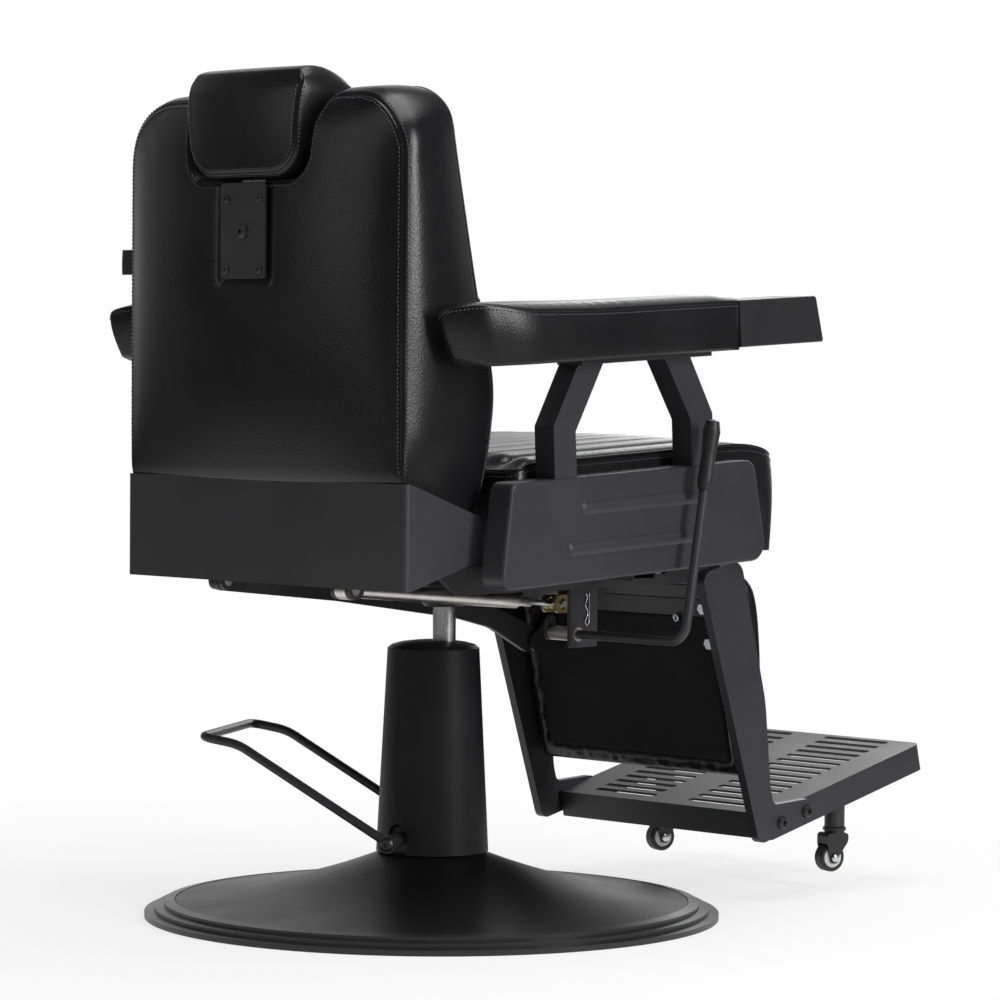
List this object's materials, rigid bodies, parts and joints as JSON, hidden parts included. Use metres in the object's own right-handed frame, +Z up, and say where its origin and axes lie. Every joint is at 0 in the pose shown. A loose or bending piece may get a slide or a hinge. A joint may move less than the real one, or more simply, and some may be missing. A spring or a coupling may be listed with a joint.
{
  "type": "barber chair",
  "caption": "Reclining barber chair on a round pump base, with coupled legrest and footplate, padded arms, sliding headrest and side lever.",
  "frame": {"origin": "on the swivel axis, at the floor under the base", "axes": "+Z up, the sitter faces -Y, +X is the sitter's left"},
  "size_m": [0.6999, 1.0511, 1.0179],
  "materials": {
    "leatherette": "fine grained synthetic leather, semi-gloss",
    "black_frame": "satin black powder coat",
    "base_paint": "matte black powder coat",
    "base_rubber": "smooth black rubber, stepped edge",
    "base_iron": "flat disc, hidden under the dome",
    "black_plastic": "satin black moulding",
    "wheel_rubber": "black tread",
    "white_plastic": "plain white disc",
    "polished_steel": "polished steel",
    "zinc_steel": "bright zinc plate",
    "black_bolts": "black oxide",
    "nickel": "bright plated tube",
    "yellow_zinc": "yellow passivated zinc",
    "plywood": "plain sheet, hidden under the covers"
  },
  "bodies": {
    "base": {"base_plate": "base_iron", "base_dome": "base_paint", "base_edge_ring": "base_rubber", "column_cover": "black_frame", "column_cap": "black_plastic", "hydraulic_cylinder": "polished_steel", "cylinder_gland": "polished_steel", "pump_block": "black_frame"},
    "pedal": {"pedal_axle": "polished_steel", "pedal_rod": "black_frame", "pedal_bolts": "black_bolts"},
    "plunger": {"pump_plunger": "polished_steel"},
    "ram": {"ram": "polished_steel"},
    "seat": {"swivel_hub": "black_frame", "frame_cross_tubes": "black_frame", "frame_side_left": "black_frame", "frame_side_right": "black_frame", "pivot_pins": "zinc_steel", "seat_board": "plywood", "seat_cushion": "leatherette", "lock_bracket": "black_frame", "lever_bush": "nickel", "lock_clevis": "yellow_zinc", "arm_bracket_left": "black_frame", "arm_bracket_right": "black_frame", "side_panel_left": "black_frame", "side_panel_right": "black_frame", "armrest_pad_left": "leatherette", "armrest_pad_right": "leatherette", "armrest_cap_left": "black_plastic", "armrest_cap_right": "black_plastic"},
    "lever": {"lever_rod": "black_frame", "lever_grip": "black_plastic"},
    "backrest": {"back_cushion": "leatherette", "back_board": "plywood", "headrest_guide": "black_frame", "back_skirt": "black_frame", "back_bracket": "black_frame", "crank_pins": "polished_steel", "headrest_plate": "black_frame", "headrest_plate_screws": "black_frame"},
    "headrest": {"headrest_cushion": "leatherette", "headrest_post": "polished_steel"},
    "link": {"recline_link": "black_frame"},
    "lock_tube": {"lock_cylinder": "nickel"},
    "lock_plunger": {"lock_rod": "polished_steel"},
    "legrest": {"legrest_arm_left": "black_frame", "legrest_arm_right": "black_frame", "legrest_board": "plywood", "legrest_cushion": "leatherette", "legrest_cross_plate": "black_frame", "footplate": "black_frame", "legrest_bolts": "zinc_steel", "caster_sockets": "black_frame"},
    "caster_left": {"caster_fork_left": "black_plastic"},
    "caster_right": {"caster_fork_right": "black_plastic"},
    "wheel_left": {"caster_tyre_left": "wheel_rubber", "caster_disc_left": "white_plastic"},
    "wheel_right": {"caster_tyre_right": "wheel_rubber", "caster_disc_right": "white_plastic"}
  },
  "joints": [
    {"name": "ram_lift", "type": "slide", "parent": "base", "child": "ram", "axis": [0, 0, 1], "range_m": [0, 0.15]},
    {"name": "seat_swivel", "type": "hinge", "parent": "ram", "child": "seat", "pos_m": [0, 0, 0.4], "axis": [0, 0, 1], "continuous": true},
    {"name": "pedal_press", "type": "hinge", "parent": "base", "child": "pedal", "pos_m": [0.03463, 0.02081, 0.097], "axis": [-0.515, 0.8572, 0], "range_deg": [0, 25], "stiffness_Nm_per_rad": 6, "springref_deg": -17.19},
    {"name": "plunger_stroke", "type": "slide", "parent": "base", "child": "plunger", "axis": [0, 0, -1], "range_m": [0, 0.0145]},
    {"name": "back_recline", "type": "hinge", "parent": "seat", "child": "backrest", "pos_m": [0, 0.227, 0.494], "axis": [-1, 0, 0], "range_deg": [0, 34]},
    {"name": "legrest_swing", "type": "hinge", "parent": "seat", "child": "legrest", "pos_m": [0, -0.3, 0.398], "axis": [-1, 0, 0], "range_deg": [0, 34]},
    {"name": "link_rear_pivot", "type": "hinge", "parent": "backrest", "child": "link", "pos_m": [0.124, 0.25, 0.412], "axis": [-1, 0, 0], "range_deg": [-34, 0]},
    {"name": "lock_rear_pivot", "type": "hinge", "parent": "backrest", "child": "lock_tube", "pos_m": [-0.085, 0.24, 0.41], "axis": [-1, 0, 0], "range_deg": [-36, 0]},
    {"name": "lock_stroke", "type": "slide", "parent": "lock_tube", "child": "lock_plunger", "axis": [0, 0.9965, 0.0833], "range_m": [0, 0.05]},
    {"name": "headrest_height", "type": "slide", "parent": "backrest", "child": "headrest", "axis": [0, 0, 1], "range_m": [0, 0.12]},
    {"name": "lever_pull", "type": "hinge", "parent": "seat", "child": "lever", "pos_m": [-0.2, -0.088, 0.347], "axis": [-1, 0, 0], "range_deg": [0, 18], "stiffness_Nm_per_rad": 2, "springref_deg": -14.32},
    {"name": "caster_left_swivel", "type": "hinge", "parent": "legrest", "child": "caster_left", "pos_m": [0.149, -0.557, 0.09], "axis": [0, 0, 1], "continuous": true},
    {"name": "wheel_left_spin", "type": "hinge", "parent": "caster_left", "child": "wheel_left", "pos_m": [0.15107, -0.54979, 0.0405], "axis": [0.9613, -0.2756, 0], "continuous": true},
    {"name": "caster_right_swivel", "type": "hinge", "parent": "legrest", "child": "caster_right", "pos_m": [-0.149, -0.557, 0.09], "axis": [0, 0, 1], "continuous": true},
    {"name": "wheel_right_spin", "type": "hinge", "parent": "caster_right", "child": "wheel_right", "pos_m": [-0.14693, -0.54979, 0.0405], "axis": [0.9613, -0.2756, 0], "continuous": true}
  ],
  "couplings": [
    {"joint": "plunger_stroke", "follows": "pedal_press", "m_per_rad": 0.031},
    {"joint": "legrest_swing", "follows": "back_recline", "ratio": 1},
    {"joint": "link_rear_pivot", "follows": "back_recline", "ratio": -1},
    {"joint": "lock_rear_pivot", "follows": "back_recline", "ratio": -1.0474},
    {"joint": "lock_stroke", "follows": "back_recline", "m_per_rad": 0.082413}
  ]
}
